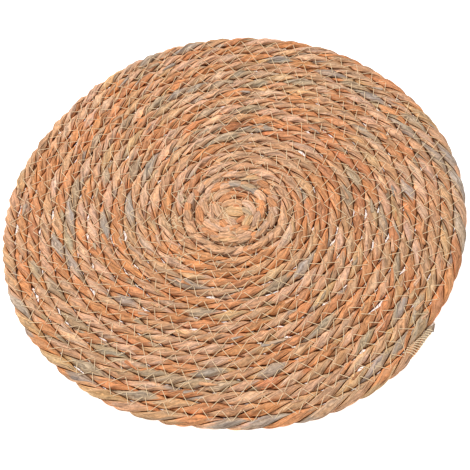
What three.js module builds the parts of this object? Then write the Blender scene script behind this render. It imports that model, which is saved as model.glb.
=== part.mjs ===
import * as THREE from 'three';

// A round placemat: one long two-ply rope of dried leaf, wound in a flat spiral and sewn turn
// to turn into a single flat disc. Millimetres, +Z up. The origin is on the surface that the
// mat lies on, under the middle of its outline.

// The mat and its rope
const MAT_DIAMETER = 380;
const ROPE_PITCH = 9.9; // from one turn to the next, which is the width of the sewn rope
const ROPE_HEIGHT = 8;
const CREST_WIDTH = 3.6; // the rounded top of a turn, taken as level
const FOOT_WIDTH = 3.6; // the flattened underside of a turn, which rests on the table
const MOST_LEVEL = 0.4; // of a turn's width, where the rope is too thin for those two
const SEAM_DEPTH = 2.5; // from a crest or a foot to the seam between two turns
const CREST_DIP = 0.5; // how far a crest sinks where the leaf runs thin
const DIP_WAVES = [1.13, 0.41]; // radians per step, of the two waves that make the dips uneven

// The coil, which winds outward anticlockwise when it is seen from above
const STEPS_PER_TURN = 48;
const END_ANGLE = 314; // degrees, where the rope ends on the rim
const END_RADIUS = (MAT_DIAMETER + ROPE_PITCH) / 2; // the rim's there, half a pitch over its mean
const STEPS = Math.round((END_RADIUS / ROPE_PITCH - 0.5) * STEPS_PER_TURN);
const START_OFFSET = 2; // from the coil's middle to the highest point of the rope's start

// The outer turns lie this far off the middle of the inner ones: the shift grows between these
// two radii
const COIL_SHIFT = { x: 0.4, y: 2.1, from: 40, to: 95 };

// The rope's end, drawn in to a thin tip and laid against the turn inside it
const TIP_STEPS = 2;
const TIP_WIDTH = 0.4; // of the pitch
const TIP_HEIGHT = 6;
const TIP_EDGE = 1; // from the tip's crest down to its outer edge

// How far the rim stands out of a true spiral, by direction, in degrees and millimetres. Turns
// further in follow it less, by this power of their radius.
const BULGE_FADE = 2;
const RIM_BULGES = [
  { angle: 0, out: 1.4 },
  { angle: 30, out: -0.8 },
  { angle: 75, out: -1.1 },
  { angle: 105, out: 0.6 },
  { angle: 138, out: -2.1 },
  { angle: 168, out: 1.4 },
  { angle: 195, out: 2.9 },
  { angle: 225, out: 0.2 },
  { angle: 255, out: -2.8 },
  { angle: 285, out: 0.4 },
  { angle: 302, out: -0.6 },
  { angle: 320, out: 2.2 },
  { angle: 345, out: 1.4 },
];

function easeInOut(share) {
  return (1 - Math.cos(Math.PI * Math.min(Math.max(share, 0), 1))) / 2;
}

// The rim's bulge in one direction, blended between the two rows of the table beside it
function rimBulge(angle) {
  const turned = ((angle % 360) + 360) % 360;
  const last = RIM_BULGES.length - 1;
  const after = RIM_BULGES.findIndex((row) => row.angle > turned);
  const low = after < 0 ? RIM_BULGES[last] : RIM_BULGES[after - 1];
  const high = after < 0 ? { angle: 360, out: RIM_BULGES[0].out } : RIM_BULGES[after];
  const share = (turned - low.angle) / (high.angle - low.angle);
  return low.out + (high.out - low.out) * easeInOut(share);
}

function angleAt(step) {
  return END_ANGLE + (360 * (step - STEPS)) / STEPS_PER_TURN;
}

// 0 along the rope, rising to 1 at the end of its tip
function drawnIn(step) {
  return easeInOut((step - STEPS + TIP_STEPS) / TIP_STEPS);
}

// The seam along the outer side of the rope, as it is seen from above
function seamAt(step) {
  const even = ROPE_PITCH * (step / STEPS_PER_TURN + 0.5);
  const angle = angleAt(step);
  const bulge = rimBulge(angle) * (even / END_RADIUS) ** BULGE_FADE;
  const radius = even + bulge - ROPE_PITCH * (1 - TIP_WIDTH) * drawnIn(step);
  const shift = easeInOut((even - COIL_SHIFT.from) / (COIL_SHIFT.to - COIL_SHIFT.from));
  const turn = THREE.MathUtils.degToRad(angle);
  return new THREE.Vector2(
    COIL_SHIFT.x * shift + radius * Math.cos(turn),
    COIL_SHIFT.y * shift + radius * Math.sin(turn),
  );
}

// A crest's height, which rises and dips a little along the rope and falls towards its tip
function crestHeight(step) {
  const [quick, slow] = DIP_WAVES;
  const thin = (2 + Math.sin(quick * step) + Math.sin(slow * step)) / 4;
  return ROPE_HEIGHT - CREST_DIP * thin - (ROPE_HEIGHT - TIP_HEIGHT) * drawnIn(step);
}

// Every vertex once: the seam's two faces, and the crest and foot between each seam and the
// next one out
const vertices = [];

function addVertex(place, height) {
  vertices.push(place.x, place.y, height);
  return vertices.length / 3 - 1;
}

const seams = [];
for (let step = 0; step <= STEPS; step += 1) {
  const place = seamAt(step);
  const upper = Math.min(ROPE_HEIGHT - SEAM_DEPTH, crestHeight(step) - TIP_EDGE);
  seams.push({ place, top: addVertex(place, upper), bottom: addVertex(place, SEAM_DEPTH) });
}

// A point across a rib, half of a level face to one side of its middle
function acrossRib(inner, outer, level, side) {
  const width = inner.distanceTo(outer);
  const half = Math.min(level, width * MOST_LEVEL) / 2;
  return inner.clone().lerp(outer, 0.5 + (side * half) / width);
}

const ribs = [];
for (let step = STEPS_PER_TURN; step <= STEPS; step += 1) {
  const inner = seams[step - STEPS_PER_TURN].place;
  const outer = seams[step].place;
  ribs[step] = {
    crestIn: addVertex(acrossRib(inner, outer, CREST_WIDTH, -1), crestHeight(step)),
    crestOut: addVertex(acrossRib(inner, outer, CREST_WIDTH, 1), crestHeight(step)),
    footIn: addVertex(acrossRib(inner, outer, FOOT_WIDTH, -1), 0),
    footOut: addVertex(acrossRib(inner, outer, FOOT_WIDTH, 1), 0),
  };
}

const faces = [];

// A closed loop of vertices, seen anticlockwise from outside, as a fan from its first one
function addLoop(...loop) {
  for (let i = 1; i < loop.length - 1; i += 1) {
    faces.push(loop[0], loop[i], loop[i + 1]);
  }
}

// One step of a turn: three strips on its upper face and three on its lower one
function addStep(step) {
  const innerNow = seams[step - STEPS_PER_TURN];
  const innerNext = seams[step + 1 - STEPS_PER_TURN];
  const [now, next] = [ribs[step], ribs[step + 1]];
  const [outerNow, outerNext] = [seams[step], seams[step + 1]];
  addLoop(innerNow.top, now.crestIn, next.crestIn, innerNext.top);
  addLoop(now.crestIn, now.crestOut, next.crestOut, next.crestIn);
  addLoop(now.crestOut, outerNow.top, outerNext.top, next.crestOut);
  addLoop(innerNow.bottom, innerNext.bottom, next.footIn, now.footIn);
  addLoop(now.footIn, next.footIn, next.footOut, now.footOut);
  addLoop(now.footOut, next.footOut, outerNext.bottom, outerNow.bottom);
}

// The start of the rope in the middle of the mat: a low dome inside the first turn of the seam
function addStart() {
  const turn = THREE.MathUtils.degToRad(angleAt(0) - 90);
  const apex = new THREE.Vector2(START_OFFSET * Math.cos(turn), START_OFFSET * Math.sin(turn));
  const above = addVertex(apex, ROPE_HEIGHT - CREST_DIP);
  const below = addVertex(apex, 0);
  for (let step = 0; step < STEPS_PER_TURN; step += 1) {
    addLoop(above, seams[step].top, seams[step + 1].top);
    addLoop(below, seams[step + 1].bottom, seams[step].bottom);
  }
  const rib = ribs[STEPS_PER_TURN];
  const [first, second] = [seams[0], seams[STEPS_PER_TURN]];
  addLoop(above, second.top, rib.crestOut, rib.crestIn, first.top);
  addLoop(below, first.bottom, rib.footIn, rib.footOut, second.bottom);
}

// The outer side of the last turn, and the blunt face of the rope's tip
function addRim() {
  for (let step = STEPS - STEPS_PER_TURN; step < STEPS; step += 1) {
    const [now, next] = [seams[step], seams[step + 1]];
    addLoop(now.bottom, next.bottom, next.top, now.top);
  }
  const inner = seams[STEPS - STEPS_PER_TURN];
  const outer = seams[STEPS];
  const rib = ribs[STEPS];
  addLoop(
    inner.bottom, inner.top, rib.crestIn, rib.crestOut,
    outer.top, outer.bottom, rib.footOut, rib.footIn,
  );
}

addStart();
for (let step = STEPS_PER_TURN; step < STEPS; step += 1) {
  addStep(step);
}
addRim();

const shape = new THREE.BufferGeometry();
shape.setAttribute('position', new THREE.Float32BufferAttribute(vertices, 3));
shape.setIndex(faces);
shape.computeBoundingBox();
const middle = shape.boundingBox.getCenter(new THREE.Vector3());
shape.translate(-middle.x, -middle.y, 0);
shape.computeVertexNormals();

const leaf = new THREE.MeshStandardMaterial({ color: 0xc29370, roughness: 0.75, metalness: 0 });
const mat = new THREE.Mesh(shape, leaf);
mat.name = 'coiled_rope_mat';

const placemat = new THREE.Group();
placemat.add(mat);

export default placemat;
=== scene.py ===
# %% [markdown]
# # A round placemat of coiled leaf rope
# The real mat is one long rope, as thick as a little finger. It is twisted by hand from two
# strands of dried leaf, wound in a flat spiral, and sewn turn to turn with a fine zigzag thread.
# This lesson makes it the way its maker does: first the line of the coil, then the twisted
# strands along it, then the sewing. The solid that comes with the frame gives the mat its size
# and its collisions, and the pieces made here stand for it in the picture.

# %% Load the solid mat
import math

import bpy
import numpy as np
from mathutils import Matrix, Vector


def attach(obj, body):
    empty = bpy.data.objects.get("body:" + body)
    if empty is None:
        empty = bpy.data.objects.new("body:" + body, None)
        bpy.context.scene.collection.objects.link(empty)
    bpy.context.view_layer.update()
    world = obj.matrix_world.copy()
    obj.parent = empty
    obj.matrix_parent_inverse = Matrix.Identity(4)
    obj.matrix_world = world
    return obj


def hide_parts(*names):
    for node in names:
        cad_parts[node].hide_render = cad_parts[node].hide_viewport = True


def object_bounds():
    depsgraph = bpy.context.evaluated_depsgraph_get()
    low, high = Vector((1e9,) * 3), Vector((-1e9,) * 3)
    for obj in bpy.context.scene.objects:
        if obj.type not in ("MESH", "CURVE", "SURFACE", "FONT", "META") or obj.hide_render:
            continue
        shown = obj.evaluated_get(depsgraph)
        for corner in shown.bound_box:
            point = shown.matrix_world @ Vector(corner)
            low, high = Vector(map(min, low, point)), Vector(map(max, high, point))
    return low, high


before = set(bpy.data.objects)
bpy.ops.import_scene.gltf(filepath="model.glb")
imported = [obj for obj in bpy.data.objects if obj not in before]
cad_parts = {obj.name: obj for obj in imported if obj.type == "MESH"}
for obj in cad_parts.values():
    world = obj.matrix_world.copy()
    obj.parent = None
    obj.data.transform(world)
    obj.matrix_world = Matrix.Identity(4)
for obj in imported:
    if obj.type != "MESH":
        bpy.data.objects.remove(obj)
solid_low, solid_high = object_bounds()
MM = 0.001
print("the solid mat measures", [round(side / MM, 1) for side in solid_high - solid_low], "mm")

# %% [markdown]
# ## The camera
# The mat was photographed from the front and above. A round mat shows as an ellipse, and the
# ellipse's shape gives the camera's height. The crowding of the turns at the far side gives its
# distance. The camera is set from such measures, and not by eye.

# %% Set the camera
def add_object(name, data):
    """An object in the scene, made of a mesh, a lamp or a camera"""
    thing = bpy.data.objects.new(name, data)
    bpy.context.scene.collection.objects.link(thing)
    return thing


LENS_MM = 77.7  # on Blender's own sensor, which is 36 mm wide
CAMERA_HEIGHT_ANGLE = math.radians(57.61)
CAMERA_ROLL = math.radians(-9.92)
CAMERA_DISTANCE = 820.6 * MM
LOOKED_AT = Vector((-0.3, -22.7, 4.0)) * MM

camera = add_object("camera", bpy.data.cameras.new("camera"))
camera.data.lens = LENS_MM
tilt = Matrix.Rotation(math.radians(90) - CAMERA_HEIGHT_ANGLE, 4, "X")
turn = tilt @ Matrix.Rotation(CAMERA_ROLL, 4, "Z")
backward = turn.to_3x3() @ Vector((0, 0, 1))
camera.matrix_world = Matrix.Translation(LOOKED_AT + backward * CAMERA_DISTANCE) @ turn
bpy.context.scene.camera = camera
print("the camera stands at", [round(place, 3) for place in camera.matrix_world.translation])

# %% [markdown]
# ## Helpers for materials
# A material in Blender is a small tree of nodes. One helper makes a node and fills in its
# inputs: one that gets a socket is linked, and one that gets a number or a colour holds it.

# %% Make nodes
def new_material(name):
    """An empty material with its shader, as (material, node tree, shader)"""
    material = bpy.data.materials.new(name)
    material.use_nodes = True
    tree = material.node_tree
    return material, tree, tree.nodes["Principled BSDF"]


def fill_in(tree, node, inputs):
    """Link sockets to a node's inputs, or give them plain values, by name or number"""
    for name, value in inputs.items():
        if isinstance(value, bpy.types.NodeSocket):
            tree.links.new(value, node.inputs[name])
        else:
            node.inputs[name].default_value = value


def add_node(tree, kind, inputs, **settings):
    """A node of one kind, with its settings and its inputs"""
    node = tree.nodes.new("ShaderNode" + kind)
    for name, value in settings.items():
        setattr(node, name, value)
    fill_in(tree, node, inputs)
    return node


def linear(red, green, blue):
    """A colour as the eye names it, as the amounts of light that Blender reckons with"""
    parts = np.array([red, green, blue])
    return np.where(parts <= 0.04045, parts / 12.92, ((parts + 0.055) / 1.055) ** 2.4)


def rgba(parts):
    """A colour of three parts, as the four that a colour input takes"""
    return (*(float(part) for part in parts), 1.0)


# %% [markdown]
# ## The table and the light
# The mat lies on a lit white table, on which nothing casts a shadow: white shows even through
# the slits between two turns. Some more light comes from above and the back left. Here that is
# a wide plane that glows a little, a white world and one large soft lamp. The picture's colours
# are kept plain, because the photograph's white is white.

# %% Lay the table and set the light
TABLE_SIZE = 6.0
TABLE_WHITE = linear(0.97, 0.97, 0.97)
TABLE_ROUGHNESS = 0.9
TABLE_SHINE = 0.1
TABLE_GLOW = 0.75
WHITE = (1, 1, 1, 1)
WORLD_STRENGTH = 0.7
LAMP_SIZE = 1.2
LAMP_POWER = 25.0
LAMP_PLACE = Vector((-0.8, 0.9, 1.5))

bpy.context.scene.view_settings.view_transform = "Standard"

world = bpy.data.worlds.new("studio")
world.use_nodes = True
sky = {"Color": WHITE, "Strength": WORLD_STRENGTH}
fill_in(world.node_tree, world.node_tree.nodes["Background"], sky)
bpy.context.scene.world = world

lamp = add_object("soft_lamp", bpy.data.lights.new("soft_lamp", "AREA"))
lamp.data.size = LAMP_SIZE
lamp.data.energy = LAMP_POWER
lamp.location = LAMP_PLACE
lamp.rotation_euler = (-LAMP_PLACE).to_track_quat("-Z", "Y").to_euler()

half = TABLE_SIZE / 2
table_mesh = bpy.data.meshes.new("table")
corners = [(-half, -half, 0), (half, -half, 0), (half, half, 0), (-half, half, 0)]
table_mesh.from_pydata(corners, [], [(0, 1, 2, 3)])
table = add_object("table", table_mesh)
white, tree, shader = new_material("white_table")
dull = {"Roughness": TABLE_ROUGHNESS, "Specular IOR Level": TABLE_SHINE}
glow = {"Emission Color": WHITE, "Emission Strength": TABLE_GLOW}
fill_in(tree, shader, {"Base Color": rgba(TABLE_WHITE), **dull, **glow})
table_mesh.materials.append(white)
print("the table is", TABLE_SIZE, "m wide")

# %% [markdown]
# ## The line of the coil
# A coil of rope is a spiral: each time round, it grows by the rope's width. A hand-wound one is
# never quite true, so its rim bulges a little in some directions, and its outer turns sit
# slightly off the middle of the inner ones. How far was measured on the photograph. The formula
# is the one that shaped the solid mat, so the rope made here lies where the solid is.

# %% Wind the coil
MAT_DIAMETER = 380 * MM
ROPE_PITCH = 9.9 * MM
END_ANGLE = 314  # degrees, where the rope ends on the rim
END_RADIUS = (MAT_DIAMETER + ROPE_PITCH) / 2
STEPS_PER_TURN = 48
STEPS = round((END_RADIUS / ROPE_PITCH - 0.5) * STEPS_PER_TURN)
TURNS = STEPS / STEPS_PER_TURN
TIP_TURNS = 2 / STEPS_PER_TURN
TIP_WIDTH = 0.4  # of the pitch
COIL_SHIFT = np.array([0.4, 2.1]) * MM
SHIFT_FROM = 40 * MM
SHIFT_TO = 95 * MM
BULGE_FADE = 2  # turns further in follow the bulges less, by this power of their radius
RIM_BULGES = {  # how far the rim stands out, in millimetres, by direction in degrees
    0: 1.4, 30: -0.8, 75: -1.1, 105: 0.6, 138: -2.1, 168: 1.4, 195: 2.9,
    225: 0.2, 255: -2.8, 285: 0.4, 302: -0.6, 320: 2.2, 345: 1.4,
}


def ease(share):
    """0 to 1 with a soft start and a soft end"""
    return (1 - np.cos(np.pi * np.clip(share, 0, 1))) / 2


def toward(angle):
    """The flat direction that an angle points in"""
    return np.stack([np.cos(angle), np.sin(angle)], axis=-1)


def drawn_in(turns):
    """0 along the rope, rising to 1 at the end of its tip"""
    return ease((turns - TURNS + TIP_TURNS) / TIP_TURNS)


def rim_bulge(angle):
    """How far the rim stands out in each of some directions, in metres"""
    rows = np.array([*RIM_BULGES, 360.0])
    outs = np.array([*RIM_BULGES.values(), RIM_BULGES[0]]) * MM
    turned = angle % 360
    low = np.clip(np.searchsorted(rows, turned, side="right") - 1, 0, len(rows) - 2)
    share = (turned - rows[low]) / (rows[low + 1] - rows[low])
    return outs[low] + (outs[low + 1] - outs[low]) * ease(share)


def seam_at(turns):
    """The line between two turns, where the rope has gone round so many times"""
    even = ROPE_PITCH * (turns + 0.5)
    angle = END_ANGLE + 360 * (turns - TURNS)
    radius = even + rim_bulge(angle) * (even / END_RADIUS) ** BULGE_FADE
    radius = radius - ROPE_PITCH * (1 - TIP_WIDTH) * drawn_in(turns)
    shift = ease((even - SHIFT_FROM) / (SHIFT_TO - SHIFT_FROM))
    return COIL_SHIFT * shift[..., None] + toward(np.radians(angle)) * radius[..., None]


rim = seam_at(np.arange(STEPS + 1) / STEPS_PER_TURN)
coil_middle = (rim.min(axis=0) + rim.max(axis=0)) / 2
print(f"{TURNS:.2f} turns, and the coil starts {coil_middle / MM} mm off the mat's middle")

# %% [markdown]
# ## Stations along the rope
# Blender's own curve bevel can't change its section as it goes, and a twisted rope's section
# turns all the time. So the rope gets its own stations: at each one, the middle of the rope,
# which way is outward, and how wide the rope is there. They stand 2 mm apart, and closer in the
# tight turns at the middle.

# %% Set out the stations
START_TURNS = -0.36
INNERMOST_SEAM = -0.5
STATION_GAP = 2.08 * MM
TIGHT_GAP = 0.13  # of the radius, where the turns are tight
LEAST_GAP = 0.45 * MM
FINE_STEPS = 60000  # in which the rope's length is measured


def rope_line(turns):
    """The rope's middle, its outward direction and half its width, after so many turns"""
    outer = seam_at(turns) - coil_middle
    inner = seam_at(np.maximum(turns - 1, INNERMOST_SEAM)) - coil_middle
    across = outer - inner
    width = np.linalg.norm(across, axis=-1)
    return (outer + inner) / 2, across / width[..., None], width / 2


fine = np.linspace(START_TURNS, TURNS, FINE_STEPS + 1)
fine_middle = rope_line(fine)[0]
fine_steps = np.linalg.norm(np.diff(fine_middle, axis=0), axis=1)
fine_along = np.concatenate([[0], np.cumsum(fine_steps)])
gap = np.clip(TIGHT_GAP * ROPE_PITCH * (fine + 0.5), LEAST_GAP, STATION_GAP)
fine_count = np.concatenate([[0], np.cumsum(fine_steps / gap[1:])])
station_count = int(fine_count[-1]) + 1
at = np.linspace(0, fine_count[-1], station_count)
station_turns = np.interp(at, fine_count, fine)
station_along = np.interp(station_turns, fine, fine_along)
middle, outward, half_width = rope_line(station_turns)
ROPE_LENGTH = float(fine_along[-1])
print(f"{ROPE_LENGTH:.2f} m of rope in {station_count} stations")

# %% [markdown]
# ## Chance, but the same each time
# No two leaves are alike, so much of what follows drifts a little along the rope. A drift is a
# smooth line through random values, given by how far it goes and by the length between its
# changes. Each has a seed of its own, so that the mat comes out the same on every run, and a
# change to one drift leaves the others as they are.

# %% Make drifts
def about_one(chance, reach, shape=None):
    """Random numbers that are 1, give or take so much"""
    return 1 + reach * chance.uniform(-1, 1, shape)


def drift(along, far_and_often, seed):
    """A smooth random line along the rope, within some reach, with a new value at each spacing"""
    reach, spacing = far_and_often
    knots = np.random.default_rng(seed).uniform(-1, 1, int(np.max(along) / spacing) + 3)
    place = along / spacing
    low = np.floor(place).astype(int)
    share = ease(place - low)
    return reach * (knots[low] * (1 - share) + knots[low + 1] * share)


# %% [markdown]
# ## The twist
# The two strands wind about each other once in some 44 mm, and in a little more near the middle
# of the coil. That length is called the lay, and in a hand-made rope it wanders. Adding up the
# turning from station to station gives the direction in which the first strand faces: 0 is
# outward and a quarter is up. The rope is flat and wide where its strands lie side by side, and
# tall and narrow where one lies on the other.

# %% Twist the strands
LAY = 44 * MM
MIDDLE_LAY = 1.25  # of the lay, at the middle of the coil
MIDDLE_TURNS = 12
LAY_DRIFT = (0.18, 110 * MM)  # of the lay
STRAND_COUNT = 2

lay = LAY * (1 + drift(station_along, LAY_DRIFT, 11))
lay = lay * (MIDDLE_LAY + (1 - MIDDLE_LAY) * ease(station_turns / MIDDLE_TURNS))
turning = 2 * math.pi * np.gradient(station_along) / lay
facing = np.cumsum(turning)
print(f"the strands wind round {facing[-1] / 2 / math.pi:.0f} times")

# %% [markdown]
# ## The section of a strand
# Cut the rope across, and each strand is a rounded half: a squarish back on its outside, and a
# flat face where it presses on the other. Between the two strands is a narrow crease. Each
# strand is three leaves folded round each other like shingles, so its skin has three low steps.
# The skin's points follow the leaves, which turn more slowly than the strand does, so every
# leaf edge runs slantwise over the rope and slips under the next strand, as it does on the
# real one.

# %% Shape the strands
LEAVES = 3
LEAF_POINTS = np.array([0.0, 0.2, 0.42, 0.64, 0.85, 0.985])  # across one leaf, edge to edge
LEAF_LIFT = np.array([0.0, 0.12, 0.24, 0.36, 0.46, 0.5]) * MM
LEAF_LAY = 95 * MM  # the length in which the leaves turn once about their strand
SKIN_SHARE = 0.86  # the share of the points on the strand's outside
BACK_SHARE = 0.52  # of those, the share on the rounded back, outside of where the strand is widest
FAT = 0.37  # how far out the strand is widest
BACK_SQUARENESS = 3.8  # 2 is an ellipse, and more is squarer
CREASE_DEPTH = 0.27  # of the strand's half breadth, between the two strands
CREASE_SHARPNESS = 2.6  # 1 is an open V, and more is narrower at its bottom
WAIST = 0.75  # a strand's breadth where it is widest, of the rope's
FOOT_GAP = 0.3 * MM  # the sewing thread's thickness, on which the rope rests
HEIGHT_SPARE = 0.25 * MM
LEAF_TURN_DRIFT = (0.12, 90 * MM)  # of a turn about the strand
LIFT_DRIFT = (0.45, 34 * MM)  # of a leaf edge's lift
CREASE_DRIFT = (0.16 * MM, 13 * MM)
WAIST_DRIFT = (0.045, 30 * MM)
CONTACT_SINK = 0.03  # how far the face on the other strand is drawn in
LEAST_REACH = 0.3  # where the skin is nearest to the rope's middle

rope_top = solid_high.z - HEIGHT_SPARE
half_height = (rope_top - FOOT_GAP) / 2
points_around = LEAVES * len(LEAF_POINTS)


def strand_section(place, waist):
    """The skin of a strand as (out, aside), by the place around it from 0 to 1"""
    turned = place / SKIN_SHARE * 2 - 1
    side = np.sign(turned)
    on_back = np.clip(np.abs(turned) / BACK_SHARE, 0, 1) * math.pi / 2
    on_lip = np.clip((np.abs(turned) - BACK_SHARE) / (1 - BACK_SHARE), 0, 1)
    out = FAT + (1 - FAT) * np.cos(on_back) ** (2 / BACK_SQUARENESS)
    out = out - FAT * on_lip
    aside = np.sin(on_back) ** (2 / BACK_SQUARENESS)
    aside = aside - CREASE_DEPTH * on_lip ** CREASE_SHARPNESS
    across = (1 - CREASE_DEPTH) * (1 - 2 * (place - SKIN_SHARE) / (1 - SKIN_SHARE))
    on_skin = place < SKIN_SHARE
    return np.where(on_skin, out, 0), np.where(on_skin, side * aside, across) * waist


def strand_points(number):
    """All the points of one strand's skin, one row for each station"""
    slow = drift(station_along, LEAF_TURN_DRIFT, 20 + number)
    leaf_turn = slow - station_along / LEAF_LAY + number / STRAND_COUNT
    columns = []
    for leaf in range(LEAVES):
        lift_drift = 1 + drift(station_along, LIFT_DRIFT, 30 + number * LEAVES + leaf)
        for point, lift in zip(LEAF_POINTS, LEAF_LIFT):
            place = ((leaf + point) / LEAVES + leaf_turn) % 1
            seed = 50 + len(columns) + number * points_around
            crease = drift(station_along, CREASE_DRIFT, seed)
            columns.append((place, lift * lift_drift + crease))
    place = np.stack([column[0] for column in columns], axis=1)
    lift = np.stack([column[1] for column in columns], axis=1)
    waist = WAIST + drift(station_along, WAIST_DRIFT, 40 + number)
    out, aside = strand_section(place, waist[:, None])
    faces = (facing + number * math.pi)[:, None]
    across = out * np.cos(faces) - aside * np.sin(faces)
    up = out * np.sin(faces) + aside * np.cos(faces)
    reach = np.hypot(across, up)
    lifted = np.where(place < SKIN_SHARE, (lift - LEAF_LIFT[-1]) / half_height, -CONTACT_SINK)
    grown = 1 + lifted / np.maximum(reach, LEAST_REACH)
    return across * grown, up * grown, place


sections = [strand_points(number) for number in range(STRAND_COUNT)]
print("each strand's section has", points_around, "points")

# %% [markdown]
# ## Press the turns together
# A free rope has a waist wherever its strands lie one on the other. In the mat, the stitches
# press each turn against the next, and the soft bellies of one turn fill the waists of its
# neighbour. So every side of the rope grows by half of the gap beside it, and a little more, so
# that it is pressed flat there. The seams also wander a little. Here and there, mostly at the
# mat's left and right, the stitches have left a short slit, through which the table shows.

# %% Press the turns
PRESSED = 0.36 * MM  # how far two turns are pressed into each other
RIM_FILLING = 0.22  # of the last turn's waists, on the side that nothing presses
FIRST_PRESSED = 0.6  # turns
SEAM_WANDER = (0.6 * MM, 32 * MM)
SLIT_WAYS = {  # how many slits lie about a direction, and how many degrees to its sides
    180: (26, 40), 318: (24, 38), 35: (7, 30), 250: (14, 34),
}
SLIT_TURNS = (6.0, TURNS - 1.3)
SLIT_LENGTHS = (2.5 * MM, 7 * MM)  # from the middle of a slit to its ends
SLIT_GAPS = (0.6 * MM, 1.8 * MM)
SLIT_SHARPNESS = 1.5  # more opens a slit more suddenly from its ends
START_HEIGHT = 0.45  # of the rope's, where it starts
START_RISE = 0.7  # turns, in which it grows to its full height
END_DROP = 0.3  # of its height, where it ends

out_reach = np.max([section[0].max(axis=1) for section in sections], axis=0)
in_reach = -np.min([section[0].min(axis=1) for section in sections], axis=0)
out_short = half_width * (1 - out_reach)
in_short = half_width * (1 - in_reach)


def place_slits(seed):
    """The slits as (turns out to the middle, half length, gap)"""
    chance = np.random.default_rng(seed)
    slits = []
    for way, (count, reach) in SLIT_WAYS.items():
        for _ in range(count):
            angle = way + chance.uniform(-reach, reach)
            whole = int(chance.uniform(*SLIT_TURNS))
            turns = whole + ((angle - END_ANGLE) / 360 + TURNS) % 1
            slits.append((turns, chance.uniform(*SLIT_LENGTHS), chance.uniform(*SLIT_GAPS)))
    return slits


def along_at(turns):
    """How far along the rope the place is that lies so many turns out"""
    return np.interp(turns, station_turns, station_along)


def slit_gap(turns):
    """How far a slit opens the seam that lies so many turns out"""
    open_gap = np.zeros_like(turns)
    along = along_at(turns)
    for middle_turns, half_length, gap in slits:
        away = np.abs(along - along_at(middle_turns))
        opened = ease(SLIT_SHARPNESS * (1 - away / half_length))
        open_gap = np.maximum(open_gap, (PRESSED + gap) * opened)
    return open_gap


def wander(turns):
    """How far the seam that lies so many turns out strays outward"""
    return drift(along_at(turns), SEAM_WANDER, 6) * ease(turns / 2)


def growth(short, short_beside, seam_turns, side):
    """How far one side of the rope grows, to meet the turn beside it at their seam"""
    both_short = short + np.interp(station_turns + side, station_turns, short_beside)
    return (both_short + PRESSED - slit_gap(seam_turns)) / 2 + side * wander(seam_turns)


slits = place_slits(5)
grow_out = growth(out_short, in_short, station_turns, 1)
grow_in = growth(in_short, out_short, station_turns - 1, -1)
last_turn = station_turns > TURNS - 1
grow_out[last_turn] = RIM_FILLING * out_short[last_turn]
grow_in[station_turns < FIRST_PRESSED] = 0
wide_out = half_width + grow_out / out_reach
wide_in = half_width + grow_in / in_reach
print(len(slits), "slits stay open")


def in_the_mat(across, up):
    """Rope sections laid along the coil, as points in the mat"""
    wide = np.where(across > 0, wide_out[:, None], wide_in[:, None])
    risen = ease((station_turns - START_TURNS) / START_RISE)
    start = START_HEIGHT + (1 - START_HEIGHT) * risen
    end = 1 - END_DROP * drawn_in(station_turns)
    tall = (half_height * start * end)[:, None]
    flat = middle[:, None, :] + outward[:, None, :] * (across * wide)[:, :, None]
    height = np.maximum(FOOT_GAP + tall + up * tall, FOOT_GAP)
    return np.concatenate([flat, height[:, :, None]], axis=2)


laid = [in_the_mat(across, up) for across, up, _ in sections]

# %% [markdown]
# ## From points to a mesh
# A strand's points form a long grid that closes on itself around the strand. These helpers join
# any such grid into a mesh with its ends closed, and keep its points' colours and its flat map.

# %% Make meshes of grids
MAP_MARGIN = 0.04  # of a row, left free between two rows


def grid_corners(rings, around):
    """The ring and the point at each corner of a tube's quads"""
    ring, point = np.meshgrid(np.arange(rings - 1), np.arange(around), indexing="ij")
    along = np.stack([ring, ring, ring + 1, ring + 1], axis=2)
    return along, np.stack([point, point + 1, point + 1, point], axis=2)


def grid_faces(rings, around):
    """The quads of a tube of so many rings, each of so many points"""
    along, across = grid_corners(rings, around)
    return (along * around + across % around).reshape(-1, 4)


def round_angles(count):
    """So many angles, evenly all the way round"""
    return np.arange(count) / count * 2 * math.pi


def keep_map(mesh, *parts):
    """Give a mesh its flat map, from the places of its corners"""
    corners = np.concatenate([part.reshape(-1, 2) for part in parts])
    layer = mesh.uv_layers.new(name="OFBake")
    layer.data.foreach_set("uv", corners.astype(np.float32).ravel())


def new_piece(name, points, quads, caps):
    """A smooth mesh piece from arrays of points and quads, and the corners of its caps"""
    mesh = bpy.data.meshes.new(name)
    mesh.from_pydata(points.reshape(-1, 3).tolist(), [], [*quads.tolist(), *caps])
    mesh.shade_smooth()
    return add_object(name, mesh)


def give_values(mesh, name, values):
    """Store three numbers or a colour for each point of a mesh, for its material"""
    kind, field = {3: ("FLOAT_VECTOR", "vector"), 4: ("FLOAT_COLOR", "color")}[values.shape[-1]]
    layer = mesh.attributes.new(name, kind, "POINT")
    layer.data.foreach_set(field, values.astype(np.float32).ravel())


# %% [markdown]
# ## The colours of the leaves
# Dried leaves come in peach, tan, orange and straw, with some grey and a few brown ones. A maker
# feeds in a new leaf every few centimetres and hides its end at the rope's side. So each bend
# of a strand, as it comes up over the rope, is mostly of one colour, and often of another one
# than the bend before it. The colour goes with the points of the mesh, where the material
# reads it.

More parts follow.
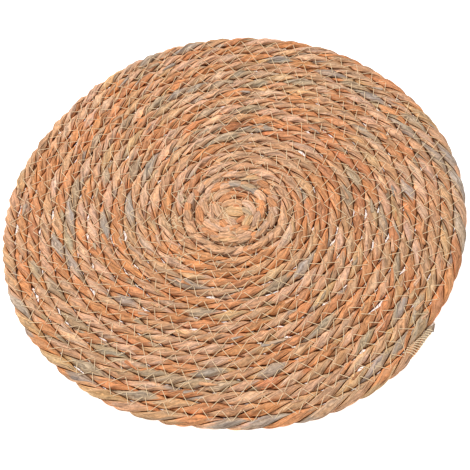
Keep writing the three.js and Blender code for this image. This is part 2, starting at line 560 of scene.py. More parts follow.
# %% Choose the leaves
LEAF_TINTS = {
    "peach": (0.87, 0.69, 0.56),
    "tan": (0.835, 0.645, 0.495),
    "orange": (0.85, 0.595, 0.415),
    "straw": (0.845, 0.68, 0.51),
    "greygreen": (0.745, 0.64, 0.525),
    "grey": (0.725, 0.64, 0.565),
    "brown": (0.8, 0.545, 0.385),
}
TINT_SHARES = np.array([0.24, 0.27, 0.25, 0.06, 0.09, 0.07, 0.02])
GREYS = (4, 5)
LAST_GREY_BENDS = 3  # where the rope ends
WARM_TURNS = 7.5  # so many turns from the middle, the leaves are all warm ones
SAME_KIND = 0.45  # the chance that a bend is of the same leaf as the one before it
STILL_WARM = 0.8  # the chance that a grey leaf there gives way to one of these first kinds
WARM_KINDS = 3
HUE_RANGE = 0.03
SAME_BUNDLE = 0.88  # the chance that a leaf is of its bundle's kind
LEAF_SLANT = 0.16  # of a bend, between a leaf end's two edges
SHADE_RANGE = 0.09
LEAF_SHADE_RANGE = 0.05
tints = np.array([linear(*tint) for tint in LEAF_TINTS.values()])


def choose_kinds(chance, count, same):
    """A kind of leaf for each of many bends, with some runs of the same kind"""
    kinds = chance.choice(len(tints), count, p=TINT_SHARES)
    starts = np.where(chance.random(count) < same, 0, np.arange(count))
    return kinds[np.maximum.accumulate(starts)]


def strand_tints(number):
    """The colour of every point of a strand's skin"""
    chance = np.random.default_rng(70 + number)
    bends_done = facing / math.pi + number
    count = int(bends_done[-1]) + 3
    first_warm = bends_done[np.searchsorted(station_turns, WARM_TURNS)]
    inner = np.arange(count) < first_warm
    bundle_kinds = choose_kinds(chance, count, SAME_KIND)
    bundle_shades = about_one(chance, SHADE_RANGE, (count, 1))
    columns = []
    for leaf in range(LEAVES):
        strays = chance.random(count) > SAME_BUNDLE
        kinds = np.where(strays, choose_kinds(chance, count, SAME_KIND), bundle_kinds)
        too_grey = np.isin(kinds, GREYS) & inner & (chance.random(count) < STILL_WARM)
        kinds = np.where(too_grey, chance.integers(0, WARM_KINDS, count), kinds)
        kinds[-LAST_GREY_BENDS:] = GREYS[-1]
        shades = tints[kinds] * bundle_shades
        shades = shades * about_one(chance, LEAF_SHADE_RANGE, (count, 1))
        shades = shades * about_one(chance, HUE_RANGE, (count, 3))
        for point in LEAF_POINTS:
            slanted = bends_done + LEAF_SLANT * (2 * point - 1)
            columns.append(shades[np.maximum(slanted, 0).astype(int)])
    return np.stack(columns, axis=1)


# %% [markdown]
# ## The finish of a dried leaf
# Close up, a leaf has fine fibres, a fine grain and sharp folds that run along it, warmer and
# greyer blotches, and a dull dry skin. Noise that is stretched along the leaf gives the fibres.
# It follows the leaf because it is placed by how far along and across the leaf a point is, and
# not by where the point lies in the mat. Another such noise makes the folds: a thin line is dented
# wherever the noise passes its middle value, and painted shade darkens it. A leaf's bent edge gets
# a painted highlight, and a lifted leaf edge a painted shadow on the next leaf. Beyond the bent
# edge, painted shade turns the leaf browner, and dark brown in the crease between two strands and
# in the seam between two turns.

# %% Make the leaf material
LEAF_NOISES = {  # grains to the metre along a leaf and across it, and their detail
    "fibres": (75.0, 760.0, 3.0),
    "ribs": (45.0, 380.0, 1.0),
    "grain": (420.0, 900.0, 2.0),
    "blotches": (30.0, 170.0, 2.0),
    "folds": (38.0, 560.0, 1.0),
    "warmth": (22.0, 260.0, 2.0),
}
LEAF_LIGHTS = {  # a noise's low and high value, and how dark and how light it makes the leaf
    "fibres": (0.34, 0.66, 0.76, 1.26),
    "ribs": (0.3, 0.7, 0.9, 1.1),
    "grain": (0.3, 0.7, 0.76, 1.26),
    "blotches": (0.3, 0.7, 0.88, 1.12),
}
LEAVES_APART = 37.0  # so that two leaves side by side have different noise
NOISE_ROUGHNESS = 0.6
GREYER = (0.94, 1.02, 1.12, 1)
WARMER = (1.08, 0.98, 0.86, 1)
WARM_PARTS = (0.35, 0.65)
SEAM_PARTS = (0.35, 0.6, 0.6, 1.0)  # where the leaf is warm, its seam is at its darkest
LEAF_ROUGHNESS = (0.3, 0.7, 0.58, 0.76)
LEAF_SHINE = 0.1
LEAF_RELIEF = {"Strength": 0.5, "Distance": 0.2 * MM}
# How wide a fold's line is, and how dark the painted shade in it is.
FOLD_WIDTH = 0.045
FOLD_DARKNESS = 0.5
EDGE_SHADE = (0.9 * MM, 0.5)  # how wide a lifted leaf edge shades the next leaf, and how much
# Painted shade: the dark brown that the creases, the seams and the folds are painted with, and
# where it lies.
CREASE_SHADE_BROWN = linear(0.22, 0.05, 0.0)
CREASE_SHADE_SPAN = (0.86, 0.95)  # where it darkens, from a strand's crest to the other strand
SEAM_SHADE_SPAN = (0.85, 0.92)  # where it darkens, from the rope's middle to its side
# A painted highlight on a leaf's bent edge, and painted brownish shade on the flanks next to the
# crease and the seam.
EDGE_LIT = (0.62, 0.78)  # where the leaf's bent edge catches more light, before either of those
EDGE_LIGHT = (1.12, 1.07, 1.0, 1)
FLANK_SHADE_SPAN = (0.8, 0.92)  # where it gets browner, next to either of those
FLANK_SHADE_BROWN = (0.95, 0.8, 0.62, 1)


def stretched_noise(tree, place, along, across, detail):
    """Noise with so many grains to the metre along a leaf and across it"""
    scale = {0: place, 1: (along, across, LEAVES_APART)}
    scaled = add_node(tree, "VectorMath", scale, operation="MULTIPLY").outputs[0]
    grains = {"Vector": scaled, "Scale": 1.0, "Detail": detail, "Roughness": NOISE_ROUGHNESS}
    return add_node(tree, "TexNoise", grains).outputs["Fac"]


def in_range(tree, value, low, high, new_low=0.0, new_high=1.0):
    """A value's range moved to another range, and held there"""
    inputs = {0: value, 1: low, 2: high, 3: new_low, 4: new_high}
    return add_node(tree, "MapRange", inputs).outputs[0]


def reckon(tree, operation, *values):
    """One sum on numbers or sockets"""
    return add_node(tree, "Math", dict(enumerate(values)), operation=operation).outputs[0]


def product(tree, *values):
    """All of some numbers or sockets, multiplied"""
    whole = values[0]
    for value in values[1:]:
        whole = reckon(tree, "MULTIPLY", whole, value)
    return whole


def mixed(tree, first, second, share, blend="MIX"):
    """Two colours mixed, by a share of the second"""
    inputs = {0: share, 6: first, 7: second}
    return add_node(tree, "Mix", inputs, data_type="RGBA", blend_type=blend).outputs[2]


leaf_material, tree, shader = new_material("dried_leaf")
tint = add_node(tree, "Attribute", {}, attribute_name="leaf_tint").outputs["Color"]
place = add_node(tree, "Attribute", {}, attribute_name="leaf_place").outputs["Vector"]
hollow = add_node(tree, "Attribute", {}, attribute_name="hollow").outputs["Vector"]
noises = {name: stretched_noise(tree, place, *noise) for name, noise in LEAF_NOISES.items()}
lights = [in_range(tree, noises[name], *light) for name, light in LEAF_LIGHTS.items()]
# Painted shade: each fold is a thin dark line, as well as a dent in the bump.
off_middle = reckon(tree, "ABSOLUTE", reckon(tree, "SUBTRACT", noises["folds"], 0.5))
folds = in_range(tree, off_middle, 0.0, FOLD_WIDTH, FOLD_DARKNESS, 0.0)
across_leaf = add_node(tree, "SeparateXYZ", {0: place}).outputs[1]
edges = in_range(tree, across_leaf, 0.0, *EDGE_SHADE, 1.0)
leaf_light = product(tree, *lights, edges)
lit = add_node(tree, "VectorMath", {0: tint, "Scale": leaf_light}, operation="SCALE").outputs[0]
warm_share = in_range(tree, noises["warmth"], *WARM_PARTS)
toned = mixed(tree, lit, mixed(tree, GREYER, WARMER, warm_share), 1.0, "MULTIPLY")
to_contact, to_side, _ = add_node(tree, "SeparateXYZ", {0: hollow}).outputs
# Painted shade: dark brown in the crease between the strands, in the seams between turns (darkest
# where the leaf is warm) and along the folds.
crease_shade = in_range(tree, to_contact, *CREASE_SHADE_SPAN)
seam_shade = in_range(tree, to_side, *SEAM_SHADE_SPAN)
seam_shade = product(tree, seam_shade, in_range(tree, noises["warmth"], *SEAM_PARTS))
painted_shade = reckon(tree, "MAXIMUM", reckon(tree, "MAXIMUM", crease_shade, seam_shade), folds)
nearest = reckon(tree, "MAXIMUM", to_contact, to_side)
# A painted highlight on the leaf's bent edge, then painted brown shade next to the crease and the
# seam.
for reach, colour in ((EDGE_LIT, EDGE_LIGHT), (FLANK_SHADE_SPAN, FLANK_SHADE_BROWN)):
    toned = mixed(tree, toned, colour, in_range(tree, nearest, *reach), "MULTIPLY")
skin = mixed(tree, toned, rgba(CREASE_SHADE_BROWN), painted_shade)
roughness = in_range(tree, noises["fibres"], *LEAF_ROUGHNESS)
relief = reckon(tree, "SUBTRACT", noises["fibres"], folds)
bump = add_node(tree, "Bump", {"Height": relief, **LEAF_RELIEF}).outputs["Normal"]
fill_in(tree, shader, {"Base Color": skin, "Roughness": roughness, "Normal": bump})
shader.inputs["Specular IOR Level"].default_value = LEAF_SHINE
print("the leaf material has", len(tree.nodes), "nodes")

# %% [markdown]
# ## Lay the two strands
# Now points, mesh, colours and material come together, once for each strand. The flat map is
# folded into rows like lines of text, so that a baked picture of the long thin strand has room.
# The material also gets two numbers that say how hollow a place is, and paints shade by them.
# One grows to 1 where the skin turns in towards the other strand. The other grows to 1 at the
# rope's two sides, where its neighbours lie against it, but stays 0 on the open side of the last
# turn, so no painted shade falls there.

# %% Lay the strands
MAP_ROWS = 18
CAP_PLACE = 0.9  # of the map's width, in its last row, where the strand's two ends lie
CAP_GAP = 0.04
CAP_SIZE = 0.3  # of a row
SKIN_WIDTH = 22 * MM  # around a strand, for the size of the fibres


def fold_map(mesh, rings, around, caps):
    """Lay a long tube's faces out as rows of a flat map"""
    per_row = math.ceil((rings - 1) / MAP_ROWS)
    along, across = grid_corners(rings, around)
    row = along[:, :, :1] // per_row
    u = (along - row * per_row) / per_row
    v = (row + MAP_MARGIN / 2 + (1 - MAP_MARGIN) * across / around) / MAP_ROWS
    parts = [np.stack([u, v], axis=3)]
    for number, cap in enumerate(caps):
        spin = round_angles(len(cap))
        centre = (CAP_PLACE + CAP_GAP * number, 1 - 0.5 / MAP_ROWS)
        parts.append(toward(spin) * CAP_SIZE / MAP_ROWS + centre)
    keep_map(mesh, *parts)


def finish_leaf(piece, shades, along, across, number, hollow):
    """Give a leaf piece its colours, its places on the leaves and its hollows"""
    opaque = np.ones((*shades.shape[:-1], 1))
    along, across, number = np.broadcast_arrays(along, across, number)
    give_values(piece.data, "leaf_tint", np.concatenate([shades, opaque], axis=-1))
    give_values(piece.data, "leaf_place", np.stack([along, across, number], axis=-1))
    give_values(piece.data, "hollow", hollow)
    piece.data.materials.append(leaf_material)
    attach(piece, "root")


def lay_strand(name, number):
    """One strand of the rope, whole"""
    across, _, place = sections[number]
    quads = grid_faces(station_count, points_around)
    last = (station_count - 1) * points_around
    caps = [range(points_around - 1, -1, -1), range(last, last + points_around)]
    piece = new_piece(name, laid[number], quads, caps)
    fold_map(piece.data, station_count, points_around, caps)
    leaf_number = number * LEAVES + np.repeat(np.arange(LEAVES), len(LEAF_POINTS))
    across_leaf = np.tile(LEAF_POINTS, LEAVES) * SKIN_WIDTH / LEAVES
    # How near each point is to the crease and to the seams, where the material paints shade.
    to_contact = np.abs(place / SKIN_SHARE * 2 - 1)
    reach = np.where(across > 0, out_reach[:, None], in_reach[:, None])
    to_side = np.where((across > 0) & last_turn[:, None], 0.0, np.abs(across) / reach)
    hollow = np.stack([to_contact, to_side, np.zeros_like(to_side)], axis=2)
    along = station_along[:, None]
    finish_leaf(piece, strand_tints(number), along, across_leaf, leaf_number, hollow)
    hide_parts("coiled_rope_mat")
    print(name, "has", len(quads) * 2, "triangles")
    return piece


strands = [lay_strand("rope_strand_one", 0), lay_strand("rope_strand_two", 1)]

# %% [markdown]
# ## How high the rope lies
# The sewing lies on the rope, so its path needs the height of the rope's skin at many places.
# Blender can drop a ray from above, or send one up from the table, and say where it meets a
# mesh. The higher of the two strands counts from above, and the lower one from below.

# %% Measure the rope's skin
RAY_START = 0.05
bpy.context.view_layer.update()


def skin_height(place, from_above):
    """The height of the rope's skin at a place, or None in a gap"""
    sign = 1 if from_above else -1
    found = []
    for strand in strands:
        hit, point, _, _ = strand.ray_cast((place[0], place[1], sign * RAY_START), (0, 0, -sign))
        if hit:
            found.append(point.z)
    if not found:
        return None
    return max(found) if from_above else min(found)


# %% [markdown]
# ## A taut thread
# A thread that is pulled tight over bumps touches only the high ones and runs straight between
# them. That is the upper side of the smallest convex outline round the bumps. It is found by
# walking along the thread and dropping each point below the line between its neighbours.

# %% Pull a thread taut
def taut_heights(places, heights):
    """The heights of a tight thread over a line of bumps"""
    kept = []
    for place, height in zip(places, heights):
        while len(kept) > 1:
            (x0, y0), (x1, y1) = kept[-2], kept[-1]
            if (y1 - y0) * (place - x0) > (height - y0) * (x1 - x0):
                break
            kept.pop()
        kept.append((place, height))
    xs, ys = zip(*kept)
    return np.interp(places, xs, ys)


# %% [markdown]
# ## Many thin tubes
# Each straight leg of the zigzag goes down into the rope at both ends, so it can be a short tube
# of its own. There are thousands, and one joined mesh from arrays is far quicker to make and to
# draw than that many curves. A tube that is much wider than it is thick is a blade of leaf, so
# the same helper makes the loose leaf ends too.

# %% Make many tubes in one piece
THREAD_SIDES = 5
TWISTS_PER_METRE = 900.0
MAP_COLUMNS = 16
TUBE_SHARE = 1 - 3 * MAP_MARGIN  # of its cell on the map, and its two ends lie beside it
TUBE_END_PLACES = ((1 - 1.5 * MAP_MARGIN, 0.25), (1 - 1.5 * MAP_MARGIN, 0.75))
TUBE_END_SIZE = (0.9 * MAP_MARGIN, 0.18)


def tube_points(paths, wide, thick, above, sides):
    """Rings of points around many paths, all with the same number of rings"""
    ahead = np.gradient(paths, axis=1)
    ahead = ahead / np.linalg.norm(ahead, axis=2, keepdims=True)
    side = np.cross(ahead, above)
    side = side / np.linalg.norm(side, axis=2, keepdims=True)
    above = np.cross(side, ahead)
    spin = round_angles(sides)
    wide = np.broadcast_to(wide, paths.shape[:2])[:, :, None, None]
    ring = side[:, :, None, :] * np.cos(spin)[:, None] * wide
    ring = ring + above[:, :, None, :] * np.sin(spin)[:, None] * thick
    return paths[:, :, None, :] + ring


def map_tubes(mesh, count, rings, sides):
    """Lay each tube's faces out in a cell of its own on a flat map"""
    columns = min(MAP_COLUMNS, count)
    rows = math.ceil(count / columns)
    number = np.arange(count)
    along, across = grid_corners(rings, sides)
    cells = np.stack([number % columns, number // columns], axis=1)[:, None, :]
    quads = np.stack([along / (rings - 1), across / sides], axis=3).reshape(-1, 2)
    ends = [place + toward(round_angles(sides)) * TUBE_END_SIZE for place in TUBE_END_PLACES]
    keep_map(mesh, *((cells + part) / (columns, rows) for part in (quads * TUBE_SHARE, *ends)))


def lay_tubes(name, paths, wide, thick, above=(0.0, 0.0, 1.0), sides=THREAD_SIDES):
    """One piece of many tubes with closed ends, and how far along its tube each point is"""
    count, rings = paths.shape[:2]
    points = tube_points(paths, wide, thick, above, sides)
    starts = np.arange(count) * rings * sides
    quads = (grid_faces(rings, sides)[None] + starts[:, None, None]).reshape(-1, 4)
    first = starts[:, None] + np.arange(sides - 1, -1, -1)
    last = starts[:, None] + (rings - 1) * sides + np.arange(sides)
    piece = new_piece(name, points, quads, [*first.tolist(), *last.tolist()])
    map_tubes(piece.data, count, rings, sides)
    steps = np.linalg.norm(np.diff(paths, axis=1), axis=2)
    along = np.concatenate([np.zeros((count, 1)), np.cumsum(steps, axis=1)], axis=1)
    print(name, "has", count, "tubes and", len(quads) * 2 + 2 * count * (sides - 2), "triangles")
    return piece, np.broadcast_to(along[:, :, None], (count, rings, sides))


def sew(name, paths, radius, above=(0.0, 0.0, 1.0), sides=THREAD_SIDES):
    """One piece of many threads, without those that found no rope"""
    paths = np.array([path for path in paths if path is not None])
    piece, along = lay_tubes(name, paths, radius, radius, above, sides)
    around = np.broadcast_to(np.arange(sides) / sides, along.shape)
    order = np.broadcast_to(np.arange(len(along))[:, None, None], along.shape)
    give_values(piece.data, "thread_place", np.stack([along, around, order], axis=3))
    piece.data.materials.append(thread_material)
    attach(piece, "root")
    return piece


# %% [markdown]
# ## The finish of the thread
# The thread is spun from pale straw-coloured fibre. Its strands show as fine slanting lines, and
# it is a little paler and darker from place to place.

# %% Make the thread material
THREAD_TINT = linear(0.98, 0.89, 0.74)
THREAD_DARK = linear(0.91, 0.77, 0.59)
THREAD_HAIRS = (400.0, 3.0, 2.0)
THREAD_DARKENING = (0.35, 0.7, 0.0, 0.8)  # low and high noise, and the dark share at each
THREAD_RELIEF = {"Strength": 0.4, "Distance": 0.05 * MM}
THREAD_FINISH = {"Roughness": 0.7, "Specular IOR Level": 0.3}

thread_material, tree, shader = new_material("spun_thread")
place = add_node(tree, "Attribute", {}, attribute_name="thread_place").outputs["Vector"]
along_thread, around_thread, _ = add_node(tree, "SeparateXYZ", {0: place}).outputs
slanted = reckon(tree, "ADD", product(tree, along_thread, TWISTS_PER_METRE), around_thread)
ridges = reckon(tree, "SINE", product(tree, slanted, 2 * math.pi))
share = in_range(tree, stretched_noise(tree, place, *THREAD_HAIRS), *THREAD_DARKENING)
colour = mixed(tree, rgba(THREAD_TINT), rgba(THREAD_DARK), share)
bump = add_node(tree, "Bump", {"Height": ridges, **THREAD_RELIEF}).outputs["Normal"]
fill_in(tree, shader, {"Base Color": colour, "Normal": bump, **THREAD_FINISH})
print("the thread material has", len(tree.nodes), "nodes")

# %% [markdown]
# ## The zigzag sewing
# A machine sews the coil as it is wound. Its needle goes down in the middle of the last turn,
# and then in the middle of the new one, so the thread zigzags over the seam between them. Each
# leg takes it some 8 mm along the seam, and less at the mat's middle, where the seam bends most.

# %% Sew the turns together
STITCH_LENGTH = 7.6 * MM  # along the seam, from one needle hole to the next
STITCH_REACH = 4.9 * MM  # from the seam to the needle hole
THREAD_RADIUS = 0.27 * MM
LEG_SAMPLES = 13
LEG_RINGS = 7
HOLE_DEPTH = 0.7 * MM
SEWN_FROM = 0.35  # turns
SEWN_TO = TURNS - 1.02
REACH_RANGE = 0.14
STITCH_RANGE = 0.16
TIGHT_STITCH = (0.32, 2.5 * MM)  # of the seam's radius, and so much more, at the middle
LEG_DROP = 4 * MM  # the most that a leg's ends lie below its top
IN_A_GAP = -1.0  # a height far below every other, where there is no rope
THREAD_SEAT = 0.4  # of the thread's radius, that its middle lies off the skin


def stitch_holes(seed):
    """The needle holes along the whole seam, to one side of it and the other in turn"""
    chance = np.random.default_rng(seed)
    turns = SEWN_FROM
    side = 1
    holes = []
    while turns < SEWN_TO:
        radius = ROPE_PITCH * (turns + 0.5)
        seam = seam_at(np.array([turns]))[0] - coil_middle
        outward_here = seam / np.linalg.norm(seam)
        reach = STITCH_REACH * about_one(chance, REACH_RANGE)
        holes.append(seam + outward_here * side * reach)
        stitch = STITCH_LENGTH * about_one(chance, STITCH_RANGE)
        stitch = min(stitch, TIGHT_STITCH[0] * radius + TIGHT_STITCH[1])
        turns += stitch / (2 * math.pi * radius)
        side = -side
    return np.array(holes)


def leg_path(start, end, from_above):
    """A leg of the zigzag, tight over the rope between two holes, or None over a gap"""
    sign = 1 if from_above else -1
    shares = np.linspace(0, 1, LEG_SAMPLES)
    flat = start + (end - start) * shares[:, None]
    heights = [skin_height(place, from_above) for place in flat]
    heights = np.array([IN_A_GAP if height is None else sign * height for height in heights])
    if max(heights[0], heights[-1]) == IN_A_GAP:
        return None
    floor = heights.max() - LEG_DROP
    heights[[0, -1]] = np.maximum(heights[[0, -1]], floor) - HOLE_DEPTH
    height = sign * (taut_heights(shares, heights) + THREAD_SEAT * THREAD_RADIUS)
    if not from_above:
        height = np.maximum(height, THREAD_RADIUS)
    rings = np.linspace(0, 1, LEG_RINGS)
    spots = start + (end - start) * rings[:, None]
    return np.column_stack([spots, np.interp(rings, shares, height)])


def zigzag(name, seed, from_above):
    """The zigzag over the whole seam, on the mat's face or on its back"""
    holes = stitch_holes(seed)
    paths = [leg_path(*pair, from_above) for pair in zip(holes[:-1], holes[1:])]
    return sew(name, paths, THREAD_RADIUS)


face_stitches = zigzag("zigzag_stitches_face", 201, True)
back_stitches = zigzag("zigzag_stitches_back", 202, False)

# %% [markdown]
# ## Bind the rope's end
# On the rim the rope just stops, so its maker draws it thin and binds it with a dozen close
# turns of the same thread. A taut turn lies on the convex outline of the rope's section. In each
# direction, that outline is the nearest of all the straight edges that just touch the section.

# %% Bind the end
BINDING_TURNS = 12
BINDING_PITCH = 2.3 * MM
BINDING_RADIUS = 0.4 * MM
BINDING_FROM_END = 3.5 * MM
BINDING_SAMPLES = 20  # for each turn
BINDING_SLANT = 1.6 * MM
BINDING_SEAT = 0.6  # of the thread's radius
EDGE_GAP = 6  # degrees between the edges that touch the section
LEAST_FACING = 0.15  # for an edge that is nearly side-on


def quarter_turned(direction):
    """A flat direction, turned a quarter to the left"""
    return np.array([-direction[1], direction[0]])


def taut_reach(section, way):
    """How far a taut thread runs from the middle of a section's points, in one direction"""
    edges = np.radians(np.arange(0, 360, EDGE_GAP))
    touching = np.max(section @ toward(edges).T, axis=0)
    facing_it = np.cos(edges - way)
    ahead = facing_it > LEAST_FACING
    return np.min(touching[ahead] / facing_it[ahead])


def binding_path():
    """The binding thread's path, and the way out of the rope along it"""
    spots = []
    ways = []
    for sample in range(BINDING_TURNS * BINDING_SAMPLES + 1):
        turned = sample / BINDING_SAMPLES
        way = 2 * math.pi * turned
        along = ROPE_LENGTH - BINDING_FROM_END - turned * BINDING_PITCH
        along = along + BINDING_SLANT * math.cos(way)
        station = int(np.argmin(np.abs(station_along - along)))
        points = np.concatenate([strand[station] for strand in laid])
        outward_here = outward[station]
        centre = np.array([*middle[station], points[:, 2].mean()])
        off = points - centre
        section = np.column_stack([off[:, :2] @ outward_here, off[:, 2]])
        reach = taut_reach(section, way) + BINDING_SEAT * BINDING_RADIUS
        out_of_rope = np.array([*(outward_here * math.cos(way)), math.sin(way)])
        ahead = np.array([*quarter_turned(outward_here), 0.0])
        spot = centre + out_of_rope * reach + ahead * (along - station_along[station])
        spots.append((spot[0], spot[1], max(spot[2], BINDING_RADIUS)))
        ways.append(out_of_rope)
    return np.array([spots]), np.array([ways])


binding, out_of_rope = binding_path()
end_binding = sew("end_binding", binding, BINDING_RADIUS, out_of_rope, 6)

# %% [markdown]
# ## Loose ends of leaf
# Leaves end all along the rope, and some of the ends stand off it a little. Each is a thin
# blade that lies on the rope, follows it for a centimetre and lifts its pointed end. In the
# first turns the rope is only a bundle of short leaves, so there they lie close, like shingles.
# At the very middle one broad leaf is folded over, and thicker broad leaves lie round it. Their
# places were measured on the photograph, one by one. A few short grey ends stick out of the
# binding where the rope stops.

# %% Lay loose leaf ends
BLADE_RINGS = 9
BLADE_SIDES = 6
BLADE_THICKNESS = 0.16 * MM
BLADE_SAG = 1.2 * MM  # the most that a blade follows the rope down
LEAST_HALF_WIDTH = 0.12 * MM
BLADE_NUMBERS = 10  # where they start, so that no blade has the noise of a strand's leaf
BLUNTNESS = 0.7  # of a broad leaf's ends, where 1 is more pointed
STRAIGHTNESS = 3.5  # of a first leaf's sides
LOOSE_POINT = 0.6  # how soon a loose end narrows towards its tip
LOOSE_ENDS = 150
LOOSE_AREA = (0.01, 1)  # of the mat's, from its middle outward
LOOSE_TO = TURNS - 0.3
LOOSE_LENGTHS = (7 * MM, 15 * MM)
LOOSE_WIDTHS = (1.0 * MM, 2.2 * MM)
LOOSE_GAP = 0.1 * MM  # under the blade
LOOSE_LIFTS = (0.1, 1.1)  # millimetres, at the tip
LOOSE_ASIDE = (-2, 2)  # millimetres
LOOSE_SLANTS = (-0.5, 0.15)
SHINGLE_TURNS = (1.9, 4.2)
SHINGLE_GAP = 8.5 * MM
SHINGLE_LENGTHS = (13 * MM, 18 * MM)
SHINGLE_WIDTHS = (2.7 * MM, 3.9 * MM)
SHINGLE_LIFT = 0.25 * MM
SHINGLE_RISES = (0, 1.4)  # of that lift, towards the tip
SHINGLE_ASIDE = (-1, 1)  # millimetres
SHINGLE_GAP_RANGE = 0.2
SHINGLE_SLANTS = (-0.45, -0.1)
FIRST_LEAVES = (  # across, away, heading, length, width (millimetres and degrees), kind
    (3, -2, -20, 18, 11, 3),
    (5, 3, -10, 9, 5, 6),
    (2, 7, -5, 20, 7, 1),
    (16, 0, -65, 20, 8, 0),
    (13, -4, -45, 13, 7, 4),
    (12, -13, 55, 14, 8, 3),
    (-2, -11, -45, 12, 7, 0),
    (7, -11, 30, 10, 5, 6),
    (-8, -12, -60, 10, 6, 2),
    (-11, 1, -80, 17, 7, 1),
    (0, -18, 15, 13, 5, 2),
    (8, -20, 5, 9, 6, 2),
    (-11, 25, 25, 20, 7, 0),
    (-6, 18, 25, 20, 7, 1),
    (7, 25, -15, 16, 7, 5),
    (25, 10, -55, 20, 8, 0),
    (-21, 7, -85, 17, 7, 1),
    (-18, -12, -45, 21, 8, 0),
    (-8, -24, -10, 17, 7, 1),
    (6, -27, 15, 17, 7, 0),
    (24, -6, -85, 14, 7, 2),
)
FIRST_LEAF_HEIGHT = 7.3 * MM
FIRST_LEAF_THICKNESS = 0.8 * MM  # from its middle to its face
FIRST_LEAF_SINK = 2.2 * MM  # how far its two ends are tucked in
FIRST_LEAF_SIDES = 10
FRAYED_ENDS = 9
FRAYED_LENGTHS = (5 * MM, 8 * MM)
FRAYED_WIDTHS = (0.4 * MM, 0.8 * MM)
FRAYED_HEIGHTS = (2.0 * MM, 5.2 * MM)
FRAYED_ASIDE = (-1.6 * MM, 1.4 * MM)
FRAYED_SLANTS = (-0.35, 0.3)
FRAYED_TAPER = 0.6  # of its width, lost towards its tip
shares = np.linspace(0, 1, BLADE_RINGS)


def bent_line(centre, heading, length, bend=0):
    """A blade's middle line as seen from above"""
    from_middle = shares[:, None] - 0.5
    return centre + heading * from_middle * length + bend * from_middle ** 2


def blade_path(turns, aside, slant, length, lift):
    """A blade's middle line over the rope, from a place on it, with its end lifted"""
    start, outward_here, _ = rope_line(np.array([turns]))
    start, outward_here = start[0], outward_here[0]
    along_rope = quarter_turned(outward_here)
    heading = along_rope * math.cos(slant) + outward_here * math.sin(slant)
    bend = -outward_here * (length ** 2 / 2 / np.linalg.norm(start))
    flat = bent_line(start + outward_here * aside, heading, length, bend)
    heights = [skin_height(place, True) or 0 for place in flat]
    heights = np.maximum(heights, max(heights) - BLADE_SAG)
    return np.column_stack([flat, taut_heights(shares, heights) + lift])


def lay_blades(name, paths, widths, profile, kinds, seed, thick=BLADE_THICKNESS, sides=BLADE_SIDES):
    """One piece of many leaf blades, with painted shade along their edges where they are thick"""
    chance = np.random.default_rng(seed)
    paths = np.array(paths)
    wide = np.maximum(np.array(widths)[:, None] * profile, LEAST_HALF_WIDTH)
    piece, along = lay_tubes(name, paths, wide, thick, sides=sides)
    shades = tints[kinds] * about_one(chance, SHADE_RANGE, (len(paths), 1))
    shades = np.broadcast_to(shades[:, None, None, :], (*along.shape, 3))
    spin = round_angles(sides)
    across = EDGE_SHADE[0] + (1 + np.cos(spin)) * wide[:, :, None]
    order = BLADE_NUMBERS + np.arange(len(paths))[:, None, None]
    hollow = np.zeros((*along.shape, 3))
    # Painted shade: a thick blade's edges get the crease's dark brown and browner flanks.
    if thick > BLADE_THICKNESS:
        hollow[..., 0] = np.abs(np.cos(spin))
    finish_leaf(piece, shades, along, across, order, hollow)
    return piece


def loose_ends(seed):
    """Pointed leaf ends that stand off the rope here and there"""
    chance = np.random.default_rng(seed)
    paths = []
    for turns in np.sqrt(chance.uniform(*LOOSE_AREA, LOOSE_ENDS)) * LOOSE_TO:
        length = chance.uniform(*LOOSE_LENGTHS)
        lift = LOOSE_GAP + chance.uniform(*LOOSE_LIFTS) * MM * shares ** 3
        aside = chance.uniform(*LOOSE_ASIDE) * MM
        paths.append(blade_path(turns, aside, chance.uniform(*LOOSE_SLANTS), length, lift))
    widths = chance.uniform(*LOOSE_WIDTHS, len(paths))
    kinds = chance.choice(len(tints), len(paths), p=TINT_SHARES)
    profile = np.minimum(1, 0.5 + 4 * shares) * (1 - shares) ** LOOSE_POINT
    return lay_blades("loose_leaf_ends", paths, widths, profile, kinds, seed + 1)


def shingles(seed):
    """Short broad leaves over the first turns of the rope"""
    chance = np.random.default_rng(seed)
    paths = []
    turns = SHINGLE_TURNS[0]
    while turns < SHINGLE_TURNS[1]:
        length = chance.uniform(*SHINGLE_LENGTHS)
        lift = SHINGLE_LIFT * (0.5 + chance.uniform(*SHINGLE_RISES) * shares)
        aside = chance.uniform(*SHINGLE_ASIDE) * MM
        paths.append(blade_path(turns, aside, chance.uniform(*SHINGLE_SLANTS), length, lift))
        round_once = 2 * math.pi * ROPE_PITCH * (turns + 0.5)
        turns += SHINGLE_GAP * about_one(chance, SHINGLE_GAP_RANGE) / round_once
    widths = chance.uniform(*SHINGLE_WIDTHS, len(paths))
    kinds = chance.choice(len(tints), len(paths), p=TINT_SHARES)
    profile = np.sin(math.pi * shares) ** BLUNTNESS
    return lay_blades("first_leaves", paths, widths, profile, kinds, seed + 1)


def first_fold(seed):
    """The folded leaf at the very middle, and the broad leaves that lie round it"""
    paths, widths, kinds = [], [], []
    for across, away, heading, length, width, kind in FIRST_LEAVES:
        ahead = toward(math.radians(heading))
        place = np.array([across, away]) * MM
        inward = -coil_middle - place
        reach = max(np.linalg.norm(inward), ROPE_PITCH)
        bend = (inward - ahead * (inward @ ahead)) / reach * (length * MM) ** 2 / 2 / reach
        flat = bent_line(place, ahead, length * MM, bend)
        height = FIRST_LEAF_HEIGHT - FIRST_LEAF_SINK * (2 * shares - 1) ** 4
        paths.append(np.column_stack([flat, height]))
        widths.append(width / 2 * MM)
        kinds.append(kind)
    profile = (1 - np.abs(2 * shares - 1) ** STRAIGHTNESS) ** BLUNTNESS
    thick, sides = FIRST_LEAF_THICKNESS, FIRST_LEAF_SIDES
    return lay_blades("first_fold", paths, widths, profile, kinds, seed, thick, sides)


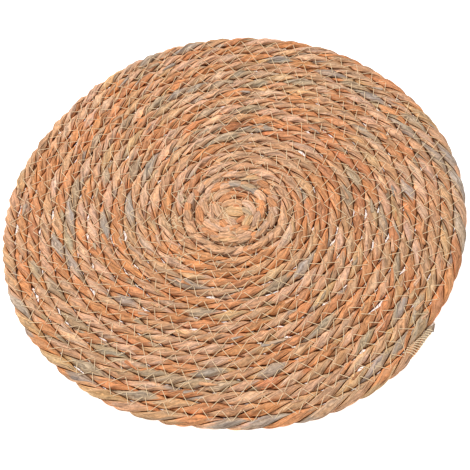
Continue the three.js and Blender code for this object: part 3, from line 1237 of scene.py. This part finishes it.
def frayed_end(seed):
    """Short grey ends of leaf that stand out of the binding"""
    chance = np.random.default_rng(seed)
    paths = []
    for _ in range(FRAYED_ENDS):
        slant = chance.uniform(*FRAYED_SLANTS)
        heading = quarter_turned(outward[-1]) * math.cos(slant) + outward[-1] * math.sin(slant)
        aside = outward[-1] * chance.uniform(*FRAYED_ASIDE)
        flat = bent_line(middle[-1] + aside, heading, chance.uniform(*FRAYED_LENGTHS))
        height = chance.uniform(*FRAYED_HEIGHTS) + chance.uniform(-0.5, 0.5) * MM * shares
        paths.append(np.column_stack([flat, height]))
    widths = chance.uniform(*FRAYED_WIDTHS, len(paths))
    kinds = np.full(len(paths), GREYS[-1])
    profile = 1 - FRAYED_TAPER * shares ** 2
    return lay_blades("frayed_end", paths, widths, profile, kinds, seed + 1)


leaf_ends = loose_ends(301)
first_leaves = shingles(311)
first_fold_piece = first_fold(321)
frayed_end_piece = frayed_end(341)

# %% [markdown]
# ## The tangle at the middle
# A machine can't start a spiral in one go: it sews to and fro over the first few turns until
# they hold. That leaves short threads in all directions, thicker in some spots.

# %% Sew to and fro over the middle
CROSSINGS = 170
CROSSING_REACH = 62 * MM
CROWDING = 0.8  # towards the middle, where 0.5 is even
CROSSING_LENGTHS = (4 * MM, 9 * MM)
TANGLE_LENGTHS = (2 * MM, 5 * MM)
TANGLE_SPREAD = 3.4 * MM
TANGLES = ((-36, 20), (-46, -3), (-47, -37), (10, -37))  # millimetres, where they lie thick


def crossing_threads(seed):
    """Short taut threads over the first turns, in all directions"""
    chance = np.random.default_rng(seed)
    paths = []
    for number in range(CROSSINGS):
        reach = CROSSING_REACH * chance.random() ** CROWDING
        way = chance.uniform(0, 2 * math.pi)
        place = -coil_middle + reach * toward(way)
        lengths = CROSSING_LENGTHS
        if number % 2 == 0:
            tangle = np.array(TANGLES[number // 2 % len(TANGLES)]) * MM
            place = tangle + chance.normal(0, TANGLE_SPREAD, 2)
            lengths = TANGLE_LENGTHS
        way = chance.uniform(0, 2 * math.pi)
        half_leg = toward(way) * chance.uniform(*lengths) / 2
        paths.append(leg_path(place - half_leg, place + half_leg, True))
    return sew("crossing_threads", paths, THREAD_RADIUS)


crossings = crossing_threads(331)
